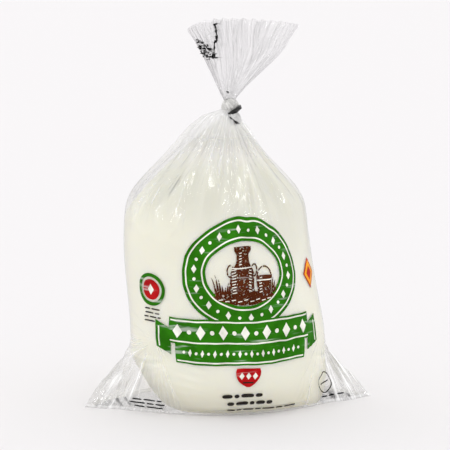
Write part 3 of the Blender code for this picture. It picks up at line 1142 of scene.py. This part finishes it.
body_film = clear_film(
    "clear_film", 0.03, 0.07, (0.975, 0.973, 0.967, 1.0), (0.098, 0.120), (22.0, 0.45, 0.56, 0.11), 0.45,
)
pleat_film = clear_film(
    "pleated_film", 0.05, 0.10, (0.964, 0.961, 0.965, 1.0), (0.160, 0.166), (30.0, 0.60, 0.50, 0.30), 0.02,
)
film.data.materials.append(body_film)
flare.data.materials.append(pleat_film)
print("clear films:", body_film.name, pleat_film.name)

# %% [markdown]
# Whey with a ball in it looks like thin milk: a warm white lower down, where the cheese is close behind
# the film, and a duller, cooler white near the top. Light goes a little way in and comes out again, so it
# has some subsurface scattering. A small share of it is see-through, which shows the ball, and under the
# knot it thins out until mostly film is left.

# %% Whey and cheese
LEVEL_TILT = (0.28, 0.0, 1.0)
CLOUD_HEIGHT = 0.03
NEAR_KNOT_WHITE = (0.84, 0.83, 0.785, 1.0)
FOOT_SHADE = (0.82, 0.81, 0.79, 1.0)
SIDE_SHADE = (0.55, 0.56, 0.53, 1.0)
THIN_WHEY = (0.97, 0.97, 0.92, 1.0)
CHEESE_WHITE = (0.90, 0.88, 0.79, 1.0)


def milky(name, low_colour, high_colour, see_through):
    """Thin milk, two colours by height, whiter under the knot, with painted shade at the foot and where it
    turns away.
    """
    material, tree = new_finish(name)
    place = on_object(tree)
    height = add(tree, "SeparateXYZ", {"Vector": place}).outputs["Z"]
    level = vectors(tree, "DOT_PRODUCT", place, LEVEL_TILT, output="Value")
    cloudy = arithmetic(tree, "MULTIPLY_ADD", soft_noise(tree, place, 22.0, 3.0), CLOUD_HEIGHT, level)
    colour = mixed(tree, ramp_of(tree, cloudy, 0.085, 0.128), low_colour, high_colour)
    colour = mixed(tree, ramp_of(tree, height, 0.126, 0.143), colour, NEAR_KNOT_WHITE)
    # Painted shade: the milk darkens over its last two centimetres towards the floor.
    colour = mixed(tree, ramp_of(tree, height, 0.021, 0.0), colour, FOOT_SHADE, "MULTIPLY")
    # Painted shade: the milk darkens where its surface turns away from the camera, less so near the foot.
    facing = add(tree, "LayerWeight", {"Blend": 0.5}).outputs["Facing"]
    painted_side_shade = product(tree, ramp_of(tree, facing, 0.45, 1.0, 0.24), ramp_of(tree, height, 0.020, 0.065))
    shader = fill(tree, tree.nodes["Principled BSDF"], {
        "Base Color": mixed(tree, painted_side_shade, colour, SIDE_SHADE, "MULTIPLY"),
        "Roughness": 0.35,
        "Specular IOR Level": 0.25,
        "Subsurface Weight": 0.5,
        "Subsurface Radius": (1.0, 0.9, 0.6),
        "Subsurface Scale": 0.008,
    })
    clear = add(tree, "BsdfTransparent", {"Color": THIN_WHEY}).outputs["BSDF"]
    thinning = ramp_of(tree, height, 0.136, 0.156, 0.6, foot=see_through)
    surface = layered(tree, thinning, shader.outputs["BSDF"], clear)
    fill(tree, tree.nodes["Material Output"], {"Surface": surface})
    return material


whey.data.materials.append(milky("whey", (0.935, 0.922, 0.793, 1.0), (0.785, 0.783, 0.687, 1.0), 0.05))
ball.data.materials.append(milky("cheese", CHEESE_WHITE, CHEESE_WHITE, 0.0))
print("milky finishes:", whey.active_material.name, ball.active_material.name)

# %% [markdown]
# Bunched film is many layers deep, so the knot is white-grey and hardly see-through. The bight and the
# turn carry crushed dark print, which starts at a ragged edge and has small bare specks in it; the specks
# are partly gaps in the ink and partly painted highlights.

# %% The knot's finish
RAGGED = 1.4 * MM
STAIN = (0.003, 0.003, 0.003, 1.0)
SHADED = 0.66
BIGHT_DARK = (131.6 * MM, 131.2 * MM)
TURN_DARK = (-2.0 * MM, -2.6 * MM)


def bunched_film(name, colour, alpha, dark_way=None, dark_from=0.0, dark_to=0.0):
    """Film many layers deep. With dark_way, crushed print darkens it past dark_to along that way."""
    material, tree = new_finish(name)
    place = on_object(tree)
    layers = soft_noise(tree, place, 420.0, 2.0)
    shaded = [SHADED * value for value in colour[:3]] + [1.0]
    base = two_tone(tree, layers, 0.3, 0.7, shaded, colour)
    if dark_way is not None:
        along = vectors(tree, "DOT_PRODUCT", place, dark_way, output="Value")
        edge = ramp_of(tree, arithmetic(tree, "MULTIPLY_ADD", layers, RAGGED, along), dark_from, dark_to)
        # The bare specks in the dark print are partly gaps in crushed ink and partly painted highlights.
        inked = ramp_of(tree, soft_noise(tree, place, 1400.0, 2.0), 0.70, 0.66)
        base = mixed(tree, product(tree, edge, inked), base, STAIN)
    fill(tree, tree.nodes["Principled BSDF"], {
        "Base Color": base,
        "Alpha": alpha,
        "Roughness": 0.22,
        "Specular IOR Level": 0.3,
        "Normal": crinkle(tree, 900.0, 0.5, 0.3 * MM, stretch=(1.0, 1.0, 0.35)),
    })
    return material


barrel.data.materials.append(bunched_film("bunched_film", (0.82, 0.812, 0.79, 1.0), 0.92))
bight.data.materials.append(
    bunched_film("bunched_film_grey", (0.68, 0.68, 0.67, 1.0), 0.94, (0.55, 0.0, 0.83), *BIGHT_DARK)
)
binding.data.materials.append(
    bunched_film("bunched_film_printed", (0.70, 0.69, 0.67, 1.0), 0.97, (0.0, 1.0, 0.0), *TURN_DARK)
)
print("knot finishes:", [piece.active_material.name for piece in (barrel, bight, binding)])

# %% [markdown]
# Ink on film is thin and a little uneven: its colour drifts, and thin lines of painted highlight lie
# over it where creased film would glint. The brown and the crushed ink also have tiny pinholes that show
# the milk. Ink is less glossy than the bare film round it.

# %% Inks
INKS = {
    "leaf_green": (0.020, 0.158, 0.0012),
    "bare_cream": (0.84, 0.83, 0.74),
    "earth_brown": (0.078, 0.016, 0.003),
    "signal_red": (0.43, 0.004, 0.006),
    "sun_yellow": (0.80, 0.32, 0.01),
    "ink_black": (0.006, 0.006, 0.006),
    "ink_soft": (0.022, 0.019, 0.016),
    "crushed_ink": (0.006, 0.006, 0.006),
}
PINHOLES = {"crushed_ink": (0.41, 0.49), "earth_brown": (0.365, 0.415)}
# The painted highlights on the ink: their white, and how their lines are turned and stretched.
PAINTED_GLINT_WHITE = (0.80, 0.80, 0.78, 1.0)
PAINTED_GLINT_TURN = (0.0, 0.6, 0.0)
PAINTED_GLINT_STRETCH = (45.0, 45.0, 420.0)


def painted_glints(tree):
    """Thin slanting lines in a few patches: painted highlights where creased film would glint over the
    print.
    """
    inputs = {"Vector": on_object(tree), "Rotation": PAINTED_GLINT_TURN, "Scale": PAINTED_GLINT_STRETCH}
    place = add(tree, "Mapping", inputs).outputs["Vector"]
    thin = ramp_of(tree, soft_noise(tree, place, 1.0, 3.0), 0.56, 0.68, 0.42)
    return product(tree, thin, patches(tree, 42.0))


def ink_finish(name, colour):
    """An ink whose colour drifts from a little darker to a little lighter, with lines of painted highlight.
    """
    material, tree = new_finish(name)
    place = on_object(tree)
    dark = [0.82 * value for value in colour] + [1.0]
    light = [min(1.22 * value + 0.002, 1.0) for value in colour] + [1.0]
    drift = two_tone(tree, soft_noise(tree, place, 130.0, 4.0), 0.35, 0.68, dark, light)
    shader = fill(tree, tree.nodes["Principled BSDF"], {
        # The base colour carries painted highlights in thin lines.
        "Base Color": mixed(tree, painted_glints(tree), drift, PAINTED_GLINT_WHITE),
        "Roughness": 0.30,
        "Specular IOR Level": 0.05,
        "Normal": crinkle(tree, 260.0, 0.2, 0.3 * MM),
    })
    if name in PINHOLES:
        specks = soft_noise(tree, place, 900.0, 3.0)
        fill(tree, shader, {"Alpha": ramp_of(tree, specks, *PINHOLES[name])})
    return material


ink_materials = {name: ink_finish(name, colour) for name, colour in INKS.items()}
for sheet, ink in printed:
    sheet.data.materials.append(ink_materials[ink])
print("inks:", len(ink_materials))

# %% [markdown]
# Printed shapes of one ink are one print run, so they are joined by ink. Every piece then rides on the
# bag's only body, and the film stands for the imported solid.

# %% Join, ride and replace


def join_run(name, sheets):
    pick_only(sheets[0])
    for sheet in sheets:
        sheet.select_set(True)
    bpy.ops.object.join()
    sheets[0].name = name
    return sheets[0]


runs = {}
for sheet, ink in printed:
    runs.setdefault(ink, []).append(sheet)
print_runs = [join_run(f"print_{ink}", sheets) for ink, sheets in runs.items()]
pieces = [film, whey, ball, flare, barrel, bight, binding] + print_runs
for piece in pieces:
    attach(piece, "root")
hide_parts("filled_bag")
print("pieces:", len(pieces))
